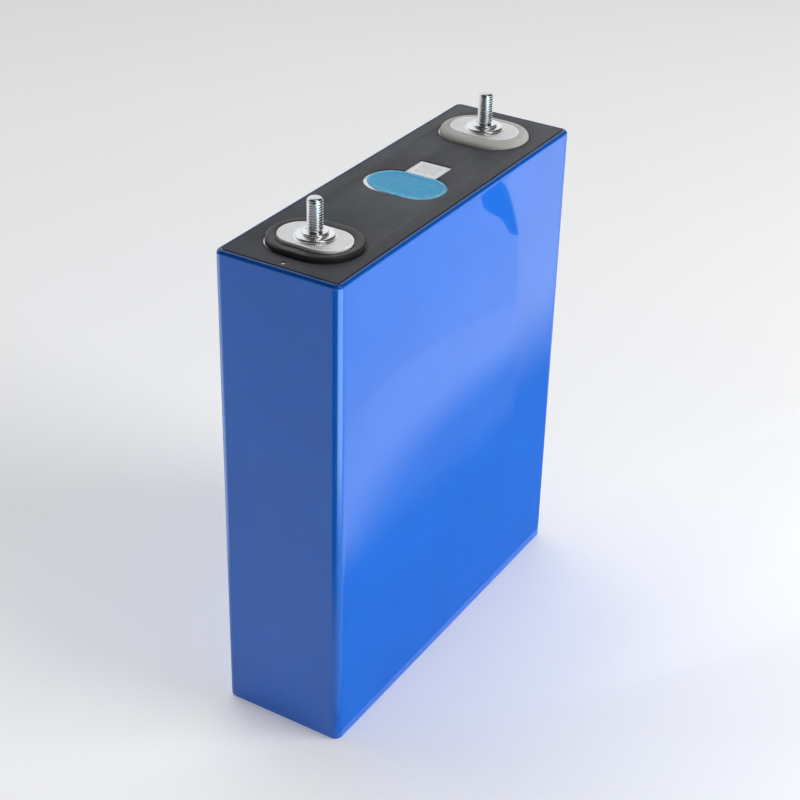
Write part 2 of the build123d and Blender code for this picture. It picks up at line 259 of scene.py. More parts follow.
def vent_film_finish():
    """Light-blue film over the vent, paler where it lies right on the lid round the opening."""
    f = Finish("vent_film_light_blue", Specular_IOR_Level=0.18)
    for name, value in (("Coat Weight", 0.17), ("Coat Roughness", 0.15), ("Coat IOR", 1.45)):
        f.set(name, value)
    drift = f.grain(7 * MM, detail=3.0)
    colour = f.mix(f.fit(drift, 0.35, 0.65), (0.012, 0.350, 0.690), (0.018, 0.384, 0.662))
    fine = f.grain(0.8 * MM, detail=4.0, shift=2.0)
    colour = f.mix(f.fit(fine, 0.4, 0.75, 0.0, 0.45), colour, (0.060, 0.450, 0.720))
    colour = f.mix(f.fit(fine, 0.42, 0.25, 0.0, 0.4), colour, (0.004, 0.290, 0.560))
    x = f.math("SUBTRACT", f.axis(0), (VENT_LOW.x + VENT_HIGH.x) / 2)
    half = (VENT_HIGH - VENT_LOW) / 2
    margin = f.fit(f.oval_reach(x, half), half.x - 1.9 * MM, half.x - 1.1 * MM)
    uneven = f.fit(f.grain(5 * MM, detail=2.0, shift=8.0), 0.35, 0.65, 0.25, 0.9)
    colour = f.mix(f.times(margin, uneven), colour, (0.200, 0.570, 0.790))
    f.set("Base Color", colour)
    f.set("Roughness", f.spread(f.grain(3 * MM, detail=4.0, shift=5.0), 0.30, 0.46))
    f.bump(f.grain(1.6 * MM, detail=3.0, shift=9.0), 0.006 * MM, 0.6)
    return f.material


def metal_finish(name, colour, tint, rough, grain, stretch=(1, 1, 1), relief=0.002, turned=0.0):
    """Bare metal: fine grain of the given size (mm) and direction, with patches of tint and sheen."""
    f = Finish(name, Metallic=1.0)
    fine = f.grain(grain * MM, stretch=stretch, detail=3.0)
    broad = f.grain(6 * MM, detail=5.0, shift=3.0)
    base = f.mix(f.fit(broad, 0.35, 0.7), colour, tint)
    shade = tuple(0.86 * c for c in colour)
    f.set("Base Color", f.mix(f.fit(fine, 0.35, 0.7, 0.0, 0.5), base, shade))
    spots = f.fit(f.grain(1.7 * MM, detail=4.0, shift=8.0), 0.35, 0.7, -0.05, 0.07)
    f.set("Roughness", f.math("ADD", f.spread(fine, rough * 0.85, rough * 1.15), spots))
    f.bump(fine, relief * MM, 0.8)
    if turned:
        radius = f.times(f.terminal_radius(), 2 * math.pi / (turned * MM))
        f.bump(f.fit(f.math("SINE", radius), -1, 1), 0.002 * MM, 0.5)
    return f.material


def plate_finish():
    """Milled aluminium, a little oxidised on top, with a painted highlight along its eased edge."""
    f = Finish("terminal_aluminium")
    fine = f.grain(0.28 * MM, detail=3.0)
    broad = f.grain(6 * MM, detail=5.0, shift=3.0)
    colour = f.mix(f.fit(broad, 0.35, 0.7), (0.88, 0.88, 0.88), (0.82, 0.82, 0.825))
    colour = f.mix(f.fit(fine, 0.35, 0.7, 0.0, 0.5), colour, (0.76, 0.76, 0.76))
    reach, half = f.terminal_oval("negative_terminal_plate")
    # Painted highlight: the eased edge is lighter and less metallic all round.
    edge = f.fit(reach, half - 0.75 * MM, half - 0.35 * MM)
    f.set("Base Color", f.mix(edge, colour, (0.97, 0.97, 0.975)))
    f.set("Metallic", f.fit(edge, 0.0, 1.0, 0.7, 0.25))
    f.set("Roughness", f.fit(f.grain(1.7 * MM, detail=4.0, shift=8.0), 0.35, 0.7, 0.40, 0.54))
    f.bump(fine, 0.006 * MM, 0.8)
    return f.material


def plastic_finish(name, colour, shade, rough, grain=0.35, relief=0.006, specular=0.5):
    """Moulded plastic: a fine eroded texture, flow marks, and a faint film of handling wear."""
    f = Finish(name, Specular_IOR_Level=specular)
    fine = f.grain(grain * MM, detail=2.0)
    flow = f.grain(6 * MM, stretch=(1, 2.5, 1), detail=4.0, shift=4.0)
    base = f.mix(f.spread(flow), colour, shade)
    soil = f.fit(f.grain(1.6 * MM, detail=5.0, shift=2.0), 0.55, 0.8, 0.0, 0.30)
    f.set("Base Color", f.mix(soil, base, tuple(0.7 * c for c in shade)))
    f.set("Roughness", f.spread(f.grain(3 * MM, detail=4.0, shift=6.0), rough * 0.88, rough * 1.12))
    f.bump(fine, relief * MM, 0.7)
    f.bump(f.grain(4 * MM, detail=1.0, shift=13.0), 0.01 * MM, 0.5)
    return f.material


def marked_finish():
    """The lid's laser-frosted field: white and matt at its border, with a fine grey speckle inside."""
    f = Finish("lid_frosted", Metallic=0.55)
    dots = f.fit(f.cells(0.55 * MM, shift=2.0), 0.30, 0.52)
    broad = f.grain(3 * MM, detail=3.0)
    colour = f.mix(f.spread(broad), (0.90, 0.90, 0.92), (0.97, 0.96, 0.97))
    low, high = MARK_FIELD
    inside = None
    for index, (a, b) in enumerate(zip(low, high)):
        middle, half = (a + b) / 2, (b - a) / 2
        off = f.math("ABSOLUTE", f.math("SUBTRACT", f.axis(index), middle))
        band = f.fit(off, half, half - 0.5 * MM)
        inside = band if inside is None else f.times(inside, band)
    colour = f.mix(f.times(inside, 0.5), colour, (0.80, 0.83, 0.82))
    colour = f.mix(f.times(f.times(inside, dots), 0.3), colour, (0.55, 0.57, 0.57))
    f.set("Base Color", colour)
    f.set("Roughness", f.fit(dots, 0, 1, 0.42, 0.55))
    f.bump(dots, 0.008 * MM, 0.5)
    return f.material


def stud_finish():
    """Bright plating on a rolled thread, with faint lengthwise streaks, rougher roots and painted shade in
    the roots.
    """
    f = Finish("stud_steel", Metallic=1.0)
    streak = f.grain(0.4 * MM, stretch=(1, 1, 6), detail=3.0)
    broad = f.grain(3 * MM, detail=3.0, shift=2.0)
    colour = f.mix(f.spread(broad), (0.90, 0.915, 0.93), (0.82, 0.84, 0.86))
    # Painted shade in the thread roots, which are also rougher.
    root = f.fit(f.terminal_radius(), 2.80 * MM, 2.60 * MM)
    colour = f.mix(f.times(root, 0.35), colour, (0.52, 0.53, 0.55))
    f.set("Base Color", f.mix(f.fit(streak, 0.45, 0.8, 0.0, 0.18), colour, (0.60, 0.62, 0.64)))
    f.set("Roughness", f.math("ADD", f.spread(streak, 0.10, 0.17), f.times(root, 0.10)))
    f.bump(streak, 0.001 * MM, 0.5)
    return f.material


def winding_finish():
    """The edge-on and outer faces of a wound electrode roll, under its separator."""
    f = Finish("winding_grey", Specular_IOR_Level=0.3)
    layers = f.grain(0.3 * MM, stretch=(60, 1, 60), detail=1.0)
    broad = f.grain(20 * MM, detail=3.0, shift=3.0)
    colour = f.mix(f.spread(layers), (0.085, 0.085, 0.092), (0.13, 0.13, 0.135))
    f.set("Base Color", f.mix(f.spread(broad, 0.0, 0.4), colour, (0.16, 0.16, 0.16)))
    f.set("Roughness", f.spread(broad, 0.5, 0.65))
    f.bump(layers, 0.02 * MM, 0.6)
    return f.material


def bag_finish():
    """Milky clear film, crinkled."""
    f = Finish("bag_clear", IOR=1.49, Transmission_Weight=0.7)
    crinkle = f.cells(14 * MM, feature="DISTANCE_TO_EDGE")
    colour = f.mix(f.spread(f.grain(9 * MM)), (0.80, 0.83, 0.85), (0.90, 0.92, 0.93))
    f.set("Base Color", colour)
    f.set("Roughness", f.spread(f.grain(5 * MM, shift=3.0), 0.22, 0.36))
    f.bump(f.fit(crinkle, 0.0, 0.2), 0.08 * MM, 0.5)
    return f.material


# The frosted field on the lid, beside the vent
MARK_FIELD = ((13.4 * MM, -4.8 * MM), (22.0 * MM, 5.0 * MM))

# Each metal is (colour, tint).
ALUMINIUM = ((0.86, 0.865, 0.88), (0.80, 0.81, 0.83))
LID_ALUMINIUM = ((0.93, 0.93, 0.94), (0.88, 0.885, 0.90))
BASE_ALUMINIUM = ((0.93, 0.93, 0.935), (0.88, 0.88, 0.89))
COPPER = ((0.80, 0.43, 0.29), (0.70, 0.34, 0.22))
EVEN = (1, 1, 1)
METAL_SLOTS = {
    # colour, tint, roughness, grain in mm, its stretch, relief in mm, turning marks in mm
    "case_aluminium": (*ALUMINIUM, 0.36, 0.4, (1, 1, 14)),
    "lid_aluminium": (*LID_ALUMINIUM, 0.40, 0.35, (12, 1, 1)),
    "vent_aluminium": (*ALUMINIUM, 0.28, 0.5),
    "stud_base_aluminium": (*BASE_ALUMINIUM, 0.22, 0.3, EVEN, 0.001, 0.42),
    "pole_copper": (*COPPER, 0.34, 0.3, EVEN, 0.002, 0.5),
    "pole_aluminium": (*ALUMINIUM, 0.34, 0.3, EVEN, 0.002, 0.5),
    "collector_copper": (*COPPER, 0.36, 0.4, (10, 1, 1)),
    "collector_aluminium": (*ALUMINIUM, 0.36, 0.4, (10, 1, 1)),
    "foil_copper": (*COPPER, 0.30, 0.25, (30, 30, 1), 0.02),
    "foil_aluminium": (*ALUMINIUM, 0.30, 0.25, (30, 30, 1), 0.02),
}
PLASTIC_SLOTS = {
    # colour, shade, roughness, grain in mm, relief in mm, specular level
    "insulator_black": ((0.013, 0.013, 0.014), (0.020, 0.020, 0.021), 0.40),
    "insulator_grey": ((0.47, 0.46, 0.43), (0.52, 0.51, 0.48), 0.44, 0.35, 0.004),
    "lower_insulator_black": ((0.02, 0.02, 0.02), (0.03, 0.03, 0.03), 0.5),
    "seal_rubber": ((0.016, 0.016, 0.016), (0.024, 0.024, 0.024), 0.6, 0.35, 0.006, 0.35),
    "plug_rubber": ((0.022, 0.022, 0.025), (0.03, 0.03, 0.035), 0.65, 0.35, 0.006, 0.35),
    "tape_green": ((0.03, 0.26, 0.10), (0.05, 0.33, 0.14), 0.28, 0.9, 0.01),
    "support_white": ((0.74, 0.74, 0.73), (0.68, 0.68, 0.66), 0.5),
}
FINISHES = {
    "film_blue": film_finish(),
    "patch_charcoal": patch_finish(),
    "vent_film_light_blue": vent_film_finish(),
    "terminal_aluminium": plate_finish(),
    "stud_steel": stud_finish(),
    "winding_grey": winding_finish(),
    "bag_clear": bag_finish(),
}
FINISHES |= {slot: metal_finish(slot, *values) for slot, values in METAL_SLOTS.items()}
FINISHES |= {slot: plastic_finish(slot, *values) for slot, values in PLASTIC_SLOTS.items()}
FROSTED = marked_finish()

# Every CAD node gets its slot's finish, whether or not a detailed piece stands for it.
for part in frame["record"]["subparts"]:
    node = frame["nodes"][part["node"]]
    node.data.materials.clear()
    node.data.materials.append(FINISHES[part["material_slot"]])


# ---- Mesh building ----
def loft(rings, closed=False):
    """Points and faces of a skin through rings of one size, capped unless it closes on itself."""
    count = len(rings[0])
    points = np.concatenate(rings)
    faces = []
    pairs = len(rings) if closed else len(rings) - 1
    for i in range(pairs):
        a, b = i * count, (i + 1) % len(rings) * count
        for j in range(count):
            k = (j + 1) % count
            faces.append((a + j, a + k, b + k, b + j))
    if not closed:
        faces.append(tuple(range(count))[::-1])
        faces.append(tuple(range(len(points) - count, len(points))))
    return points, faces


MERGE_DISTANCE = 1e-7


def piece(name, points, faces, slot, *replaced, material=None, sharp=32.0):
    """A shown piece that rides on the cell, in place of the CAD nodes it stands for.

    Edges steeper than sharp, in degrees, stay sharp.
    """
    mesh = bpy.data.meshes.new(name)
    mesh.from_pydata([tuple(p) for p in points], [], faces)
    work = bmesh.new()
    work.from_mesh(mesh)
    bmesh.ops.remove_doubles(work, verts=work.verts, dist=MERGE_DISTANCE)
    bmesh.ops.recalc_face_normals(work, faces=work.faces)
    work.to_mesh(mesh)
    work.free()
    mesh.shade_smooth()
    mesh.set_sharp_from_angle(angle=math.radians(sharp))
    mesh.materials.append(material or FINISHES[slot])
    made = bpy.data.objects.new(name, mesh)
    bpy.context.scene.collection.objects.link(made)
    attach(made, "root")
    if replaced:
        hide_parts(*replaced)


def oval_ring(half_x, half_y, z, x=0.0, arc=40, side=10):
    """A ring with round ends, longer along Y, at one level."""
    run = half_y - half_x
    turns = np.linspace(0, math.pi, arc + 1)
    runs = np.linspace(-run, run, side + 1)[1:-1]
    upper = [(half_x * math.cos(t), run + half_x * math.sin(t)) for t in turns]
    lower = [(-px, -py) for px, py in upper]
    left = [(-half_x, -r) for r in runs]
    right = [(half_x, r) for r in runs]
    ring = np.array(upper + left + lower + right)
    return np.column_stack([ring[:, 0] + x, ring[:, 1], np.full(len(ring), z)])


# Steps round a corner and along each side
CORNER_STEPS, LONG_STEPS, SHORT_STEPS = 8, 84, 24
LEAST_RADIUS = 0.05 * MM


def cell_ring(inset, z=0.0):
    """The cell's outline drawn in by inset: points, and the outward direction at each."""
    half_x, half_y = HALF_LENGTH - inset, HALF_WIDTH - inset
    r = max(CORNER - inset, LEAST_RADIUS)
    centres = [(1, 1), (-1, 1), (-1, -1), (1, -1)]
    places, outward = [], []
    for number, (sx, sy) in enumerate(centres):
        cx, cy = sx * (half_x - r), sy * (half_y - r)
        for turn in np.linspace(0, math.pi / 2, CORNER_STEPS + 1):
            angle = turn + number * math.pi / 2
            n = (math.cos(angle), math.sin(angle))
            places.append((cx + r * n[0], cy + r * n[1]))
            outward.append(n)
        tx, ty = centres[(number + 1) % 4]
        start = places[-1]
        steps = LONG_STEPS if sx != tx else SHORT_STEPS
        end_turn = (number + 1) * math.pi / 2
        end = (tx * (half_x - r) + r * math.cos(end_turn), ty * (half_y - r) + r * math.sin(end_turn))
        for k in range(1, steps):
            t = k / steps
            places.append((start[0] + (end[0] - start[0]) * t, start[1] + (end[1] - start[1]) * t))
            outward.append(outward[-1])
    count = len(places)
    points = np.column_stack([np.array(places), np.full(count, z)])
    return points, np.column_stack([np.array(outward), np.zeros(count)])


def wobble(p, size, shift=0.0):
    """Smooth noise from 0 to 1 at a point."""
    return 0.5 + 0.5 * noise.noise(Vector(p) / size + Vector((shift, -shift, shift)))


def turned(profile, x, steps=96, waver=None, closed=True):
    """A body of revolution about the upright axis at x. waver(radius, z, turn) moves the radius."""
    turns = np.linspace(0, 2 * math.pi, steps, endpoint=False)
    rings = []
    for r, z in profile:
        radii = [waver(r, z, t) if waver else r for t in turns]
        rings.append(np.array([(x + q * math.cos(t), q * math.sin(t), z) for q, t in zip(radii, turns)]))
    return loft(rings, closed)


# ---- The film: four glossy walls, folded flaps below and a narrow lip over the rim ----
SEAM_X = HALF_LENGTH - 14 * MM
SEAM_STEP = 0.09 * MM
SEAM_EASE = 0.5 * MM
SEAM_LAP = 26 * MM
FLAP_STEP = 0.10 * MM
FLAP_RINGS = np.array([25.4, 20.0, 14.0, 8.0, 4.0, 2.2, 1.2]) * MM
NARROW_SIDE = 0.72
RIM_START = FILM_HIGH.z - 6 * MM
# Each unevenness is (depth, size).
BROAD_WAVE = (0.034 * MM, 42 * MM)
SMALL_WAVE = (0.010 * MM, 13 * MM)
RIM_PUCKER = (0.05 * MM, 2.6 * MM)
LIP_RIPPLE = (0.16 * MM, 2.2 * MM)
PLEAT_DEPTH, PLEAT_COUNT = 0.035 * MM, 22
# (inset, drop below the top) in mm
LIP_PROFILE = [(1.60, -0.01), (1.70, -0.03), (1.78, -0.07), (1.85, -0.13), (1.89, -0.20), (1.90, -0.28)]


def film_dent(p, n):
    """How far the film lies in from its nominal face: gentle waves, the lap and rim puckers."""
    waves = BROAD_WAVE[0] * wobble(p, BROAD_WAVE[1]) + SMALL_WAVE[0] * wobble(p, SMALL_WAVE[1], 5.0)
    lap = 0.0
    if n[1] > 0.99:
        lap = SEAM_STEP * np.clip((SEAM_X - p[0]) / SEAM_EASE, 0, 1)
        lap *= np.clip((p[0] - SEAM_X + SEAM_LAP) / SEAM_LAP, 0, 1)
    near_rim = np.clip((p[2] - RIM_START) / (FILM_HIGH.z - RIM_START), 0, 1) ** 2
    pucker = RIM_PUCKER[0] * near_rim * wobble((p[0], p[1], 0), RIM_PUCKER[1], 9.0)
    at_corner = 4 * abs(n[0] * n[1]) * near_rim
    pleat = PLEAT_DEPTH * at_corner * (0.5 + 0.5 * math.sin(PLEAT_COUNT * math.atan2(n[1], n[0])))
    return waves + lap + pucker + pleat


def film_rings():
    rings = []
    # Folded flaps on the bottom: the wide walls' flaps lie over the narrow walls'.
    for inset in FLAP_RINGS:
        ring, outward = cell_ring(inset, FILM_LOW.z)
        narrow = np.abs(outward[:, 0]) > NARROW_SIDE
        ring[narrow, 2] += FLAP_STEP * np.clip((inset - FILM_FOOT) / (1.0 * MM), 0, 1)
        rear = (outward[:, 1] > NARROW_SIDE) & (inset > 25 * MM)
        ring[rear, 2] += FLAP_STEP
        rings.append(ring)
    wall = [(FILM_FOOT - FILM_FOOT * math.sin(t), FILM_FOOT - FILM_FOOT * math.cos(t))
            for t in np.linspace(0, math.pi / 2, 6)[1:]]
    levels = [(i, FILM_LOW.z + z) for i, z in wall]
    top = FILM_HIGH.z - FILM_RIM
    levels += [(0.0, z) for z in np.arange(FILM_LOW.z + 3 * MM, top - 7 * MM, 2 * MM)]
    levels += [(0.0, z) for z in np.linspace(top - 6.5 * MM, top, 12)]
    levels += [(FILM_RIM * (1 - math.cos(t)), top + FILM_RIM * math.sin(t))
               for t in np.linspace(0, math.pi / 2, 13)[1:]]
    for inset, z in levels:
        ring, outward = cell_ring(inset, z)
        dents = np.array([film_dent(p, n) for p, n in zip(ring, outward)])
        rings.append(ring - outward * dents[:, None])
    # The lip: a low bead just inside the rim, then its cut edge down to the lid.
    for inset, drop in LIP_PROFILE:
        ring, outward = cell_ring(inset * MM, FILM_HIGH.z + drop * MM)
        ripple = np.array([wobble((p[0], p[1], 0), LIP_RIPPLE[1], 4.0) for p in ring])
        fade = np.clip((inset - 1.5) / 0.3, 0, 1)
        rings.append(ring + outward * (fade * LIP_RIPPLE[0] * (ripple - 0.5))[:, None])
    # The face that lies on the case.
    rings.append(cell_ring(FILM_LIP, LID_TOP)[0])
    case_rim = FILM_RIM - FILM_THICKNESS
    for t in np.linspace(0, math.pi / 2, 8):
        inset = FILM_RIM - case_rim * math.sin(t)
        rings.append(cell_ring(inset, LID_TOP - case_rim * (1 - math.cos(t)))[0])
    rings.append(cell_ring(FILM_THICKNESS, FILM_LOW.z + FILM_FOOT)[0])
    rings.append(cell_ring(FILM_FOOT, FILM_LOW.z + FILM_THICKNESS)[0])
    return rings


piece("film_jacket", *loft(film_rings()), "film_blue", "outer_film_wrap", sharp=40)


# ---- The insulating sheet on the lid ----
def outline_sheet(name, outlines, low, high, edge):
    """A flat sheet with holes and eased edges, as a mesh's points and faces."""
    curve = bpy.data.curves.new(name, "CURVE")
    curve.dimensions = "2D"
    curve.fill_mode = "BOTH"
    curve.extrude = (high - low) / 2 - edge
    curve.bevel_depth = edge
    curve.bevel_resolution = 2
    curve.offset = -edge
    for outline in outlines:
        spline = curve.splines.new("POLY")
        spline.points.add(len(outline) - 1)
        for point, (x, y) in zip(spline.points, outline):
            point.co = (x, y, 0, 1)
        spline.use_cyclic_u = True
    holder = bpy.data.objects.new(name, curve)
    mesh = bpy.data.meshes.new_from_object(holder)
    points = [(v.co.x, v.co.y, v.co.z + (low + high) / 2) for v in mesh.vertices]
    faces = [tuple(p.vertices) for p in mesh.polygons]
    bpy.data.objects.remove(holder)
    bpy.data.meshes.remove(mesh)
    return points, faces


SHEET_GAP = 0.3 * MM
SHEET_SHIFT = np.array([-0.12, 0.16]) * MM
SHEET_EASE = 0.06 * MM
VENT_WINDOW = (11.2 * MM, 17.2 * MM)
FIELD_WINDOW_HALF = 7.2 * MM
FIELD_WINDOW_END = 24.0 * MM
FIELD_WINDOW_EASE = 0.5 * MM
INDEX_HOLE_X = -82 * MM
INDEX_HOLE_RADIUS = 1.1 * MM


def vent_window():
    """The vent's oval opening, running on into the oblong one over the frosted field."""
    half_x, half_y = VENT_WINDOW
    half, ease = FIELD_WINDOW_HALF, FIELD_WINDOW_EASE
    kept = [tuple(p) for p in oval_ring(half_x, half_y, 0)[:, :2] if not (p[0] > 0 and abs(p[1]) < half)]
    root_x = math.sqrt(half_x ** 2 - (half - (half_y - half_x)) ** 2)
    oblong = [(root_x, -half)]
    for cy, first in ((-half + ease, -90), (half - ease, 0)):
        for turn in np.radians(np.linspace(first, first + 90, 5)):
            oblong.append((FIELD_WINDOW_END - ease + ease * math.cos(turn), cy + ease * math.sin(turn)))
    oblong.append((root_x, half))
    ring = sorted(kept, key=lambda p: math.atan2(p[1], p[0]) % (2 * math.pi))
    return oblong + ring


def insulator_size(side):
    low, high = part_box(f"{side}_upper_insulator")
    return (low + high) / 2, (high - low) / 2


def sheet_outlines():
    """The lid sheet's rim, then its openings. Those round the insulators sit a little askew."""
    outlines = [cell_ring(PATCH_INSET)[0][:, :2]]
    for side in SIDES:
        centre, half = insulator_size(side)
        opening = oval_ring(half.x + SHEET_GAP, half.y + SHEET_GAP, 0, centre.x, arc=64)[:, :2]
        outlines.append(opening + SHEET_SHIFT)
    outlines.append(vent_window())
    turns = np.linspace(0, 2 * math.pi, 28, endpoint=False)
    r = INDEX_HOLE_RADIUS
    outlines.append([(INDEX_HOLE_X + r * math.cos(t), r * math.sin(t)) for t in turns])
    return outlines


sheet = outline_sheet("lid_sheet", sheet_outlines(), PATCH_LOW.z, PATCH_HIGH.z, SHEET_EASE)
piece("lid_sheet", *sheet, "patch_charcoal", "top_insulating_patch")


# ---- The vent's film and the frosted field beside it ----
VENT_FILM_ASKEW = 0.35 * MM
# (inset from the film's edge, height above the lid) in mm
VENT_FILM_PROFILE = [
    (0.0, 0.00), (0.0, 0.10), (0.05, 0.16), (0.14, 0.19), (0.3, 0.20), (1.3, 0.195), (1.8, 0.17),
    (2.3, 0.10), (2.9, 0.06), (3.6, 0.055), (4.6, 0.07), (6.0, 0.09), (7.8, 0.105), (9.4, 0.11),
]
# Flattened places of the film's edge: (depth, direction in degrees, breadth in radians)
CUT_CORNER = (0.9 * MM, 128, 0.42)
CUT_END = (0.15 * MM, -90, 0.35)
SAG, SAG_SIZE = 0.03 * MM, 6 * MM


def flattened(turn, depth, direction, breadth):
    return depth * math.exp(-(((turn - math.radians(direction)) / breadth) ** 2))


def vent_film_rings():
    """A thin film, laid a little askew and cut flat at one corner, that dips over the opening."""
    half_x = (VENT_HIGH.x - VENT_LOW.x) / 2
    half_y = (VENT_HIGH.y - VENT_LOW.y) / 2
    x = (VENT_HIGH.x + VENT_LOW.x) / 2
    rings = []
    for inset, rise in VENT_FILM_PROFILE:
        ring = oval_ring(half_x - inset * MM, half_y - inset * MM, LID_TOP + rise * MM, x, arc=48, side=16)
        for p in ring:
            turn = math.atan2(p[1], p[0] - x)
            share = 1 - inset / 10
            cut = flattened(turn, *CUT_CORNER) * share + flattened(turn, *CUT_END) * share
            pull = 1 - cut / math.hypot(p[0] - x, p[1])
            p[0] = x + (p[0] - x) * pull
            p[1] = p[1] * pull - VENT_FILM_ASKEW
            if inset > 2:
                p[2] += SAG * (wobble(p, SAG_SIZE, 3.0) - 0.5)
        rings.append(ring)
    return rings


piece("vent_cover_film", *loft(vent_film_rings()), "vent_film_light_blue", "vent_protective_film", sharp=50)


FROSTED_LOW, FROSTED_HIGH = (11.8 * MM, -6.8 * MM), (23.8 * MM, 6.8 * MM)
FROSTED_RISE = 0.05 * MM
DOT_STEP = 0.4 * MM
DOT_DEPTH = 0.03 * MM
DOT_SHARE = 0.45


def frosted_field():
    """A shallow frosted plateau on the lid with rows of tiny engraved dots."""
    rng = np.random.default_rng(SEED)
    nx, ny = (round((high - low) / DOT_STEP) for low, high in zip(FROSTED_LOW, FROSTED_HIGH))
    top = LID_TOP + FROSTED_RISE
    points, faces = [], []
    for j in range(ny + 1):
        for i in range(nx + 1):
            x, y = FROSTED_LOW[0] + i * DOT_STEP, FROSTED_LOW[1] + j * DOT_STEP
            (ax, ay), (bx, by) = MARK_FIELD
            inside = ax < x < bx and ay < y < by
            points.append((x, y, top - (DOT_DEPTH if inside and rng.random() < DOT_SHARE else 0.0)))
    base = len(points)
    points += [(x, y, LID_TOP) for x, y, _ in points]

    def at(i, j, level=0):
        return level * base + j * (nx + 1) + i

    for j in range(ny):
        for i in range(nx):
            faces.append((at(i, j), at(i + 1, j), at(i + 1, j + 1), at(i, j + 1)))
    rim = [at(i, 0) for i in range(nx)] + [at(nx, j) for j in range(ny)]
    rim += [at(i, ny) for i in range(nx, 0, -1)] + [at(0, j) for j in range(ny, 0, -1)]
    for a, b in zip(rim, rim[1:] + rim[:1]):
        faces.append((a, a + base, b + base, b))
    faces.append(tuple(r + base for r in rim))
    return points, faces


def without_loose(points, faces):
    """Drops points that no face uses."""
    used = sorted({i for f in faces for i in f})
    number = {old: new for new, old in enumerate(used)}
    return [points[i] for i in used], [tuple(number[i] for i in f) for f in faces]


piece("frosted_lid_field", *without_loose(*frosted_field()), "lid_aluminium", material=FROSTED)


# ---- Terminals ----
POLE_RADIUS = 5 * MM
# (share of the way from the outer oval to the plate's pocket, height above the lid in mm)
INSULATOR_PROFILE = {
    "negative": [
        (0.0, 0.0), (0.0, 0.45), (0.0, 1.45), (0.018, 1.80), (0.055, 2.09), (0.11, 2.29), (0.17, 2.38),
        (0.24, 2.40), (0.42, 2.38), (0.60, 2.28), (0.74, 2.12), (0.82, 1.96), (0.87, 1.80), (0.91, 1.74),
        (0.96, 1.80), (0.985, 1.86), (1.0, 1.80),
    ],
    "positive": [
        (0.0, 0.0), (0.0, 0.45), (0.012, 0.86), (0.045, 1.26), (0.10, 1.63), (0.18, 1.98), (0.28, 2.27),
        (0.40, 2.48), (0.55, 2.64), (0.72, 2.74), (0.88, 2.79), (0.96, 2.80), (0.985, 2.77), (1.0, 2.68),
    ],
}
TERMINAL_STEPS = {"arc": 56, "side": 12}
POCKET_GAP = 0.05
# In mm: the plate's eased edge, and the depth of the waves in its top
PLATE_EDGE = 0.4
PLATE_WAVE, PLATE_WAVE_SIZE = 0.02 * MM, 3.5 * MM


def circle_ring(like, radius, z, x):
    """A ring about a terminal's axis, with a point beside each of another ring's."""
    turns = np.arctan2(like[:, 1], like[:, 0] - x)
    return np.column_stack([x + radius * np.cos(turns), radius * np.sin(turns), np.full(len(turns), z)])


def insulator_rings(side):
    centre, outer = insulator_size(side)
    plate_low, plate_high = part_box(f"{side}_terminal_plate")
    inner = (plate_high - plate_low) / 2 + Vector((POCKET_GAP, POCKET_GAP, 0)) * MM
    rings = []
    for share, rise in INSULATOR_PROFILE[side]:
        hx = outer.x + (inner.x - outer.x) * share
        hy = outer.y + (inner.y - outer.y) * share
        rings.append(oval_ring(hx, hy, LID_TOP + rise * MM, centre.x, **TERMINAL_STEPS))
    floor = oval_ring(inner.x, inner.y, plate_low.z - 0.01 * MM, centre.x, **TERMINAL_STEPS)
    rings.append(floor)
    rings.append(circle_ring(floor, POLE_RADIUS, plate_low.z - 0.01 * MM, centre.x))
    rings.append(circle_ring(floor, POLE_RADIUS, LID_TOP, centre.x))
    return rings


def plate_rings(side):
    """The terminal plate, with an eased edge and a faintly crowned, hand-finished top."""
    low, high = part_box(f"{side}_terminal_plate")
    centre, half = (low + high) / 2, (high - low) / 2
    edge = PLATE_EDGE
    rings = []
    height = (high.z - low.z) / MM
    outline = [(0, 0), (0, 1.0), (0, height - edge)]
    turns = np.linspace(0.2, math.pi / 2, 6)
    outline += [(edge * (1 - math.cos(t)), height - edge + edge * math.sin(t)) for t in turns]
    outline += [(edge + 0.5, height), (edge + 1.5, height)]
    for inset, rise in outline:
        sizes = (half.x - inset * MM, half.y - inset * MM, low.z + rise * MM)
        ring = oval_ring(*sizes, centre.x, **TERMINAL_STEPS)
        if inset > edge:
            ring[:, 2] -= [PLATE_WAVE * wobble(p, PLATE_WAVE_SIZE, 2.0) for p in ring]
        rings.append(ring)
    last = rings[-1]
    for share in (0.25, 0.5, 0.75, 1.0):
        round_ring = circle_ring(last, POLE_RADIUS, high.z, centre.x)
        ring = last + (round_ring - last) * share
        ring[:, 2] = [high.z - PLATE_WAVE * wobble(p, PLATE_WAVE_SIZE, 2.0) for p in ring]
        rings.append(ring)
    rings.append(circle_ring(last, POLE_RADIUS, low.z, centre.x))
    return rings


# The stud's base from its foot to the hole for the stud, as (radius, height) in mm
WELD_FOOT = [(2.85, 0.0), (8.0, 0.0), (7.97, 0.06), (7.85, 0.13), (7.66, 0.17), (7.54, 0.24), (7.49, 0.36)]
DISC_TOP = [(6.45, 1.19), (6.2, 1.14), (5.95, 1.05), (5.7, 1.01), (5.45, 1.03), (5.25, 1.12), (5.1, 1.28)]
BOSS_TOP = [(4.1, 2.19), (3.85, 2.12), (3.6, 1.98), (3.35, 1.86), (3.1, 1.80), (2.85, 1.78)]
# Rounded edges: (radius, height where the rounding starts, rounding) in mm
DISC_EDGE = (7.49, 0.45, 0.75)
BOSS_EDGE = (5.0, 1.5, 0.7)
DISC_RADIUS = 7.5 * MM
WELD_RIPPLE, WELD_BEATS = 0.04 * MM, 60


def rounded_edge(radius, start, rounding):
    turns = np.linspace(0, math.pi / 2, 12)
    return [(radius - rounding * (1 - math.cos(t)), start + rounding * math.sin(t)) for t in turns]


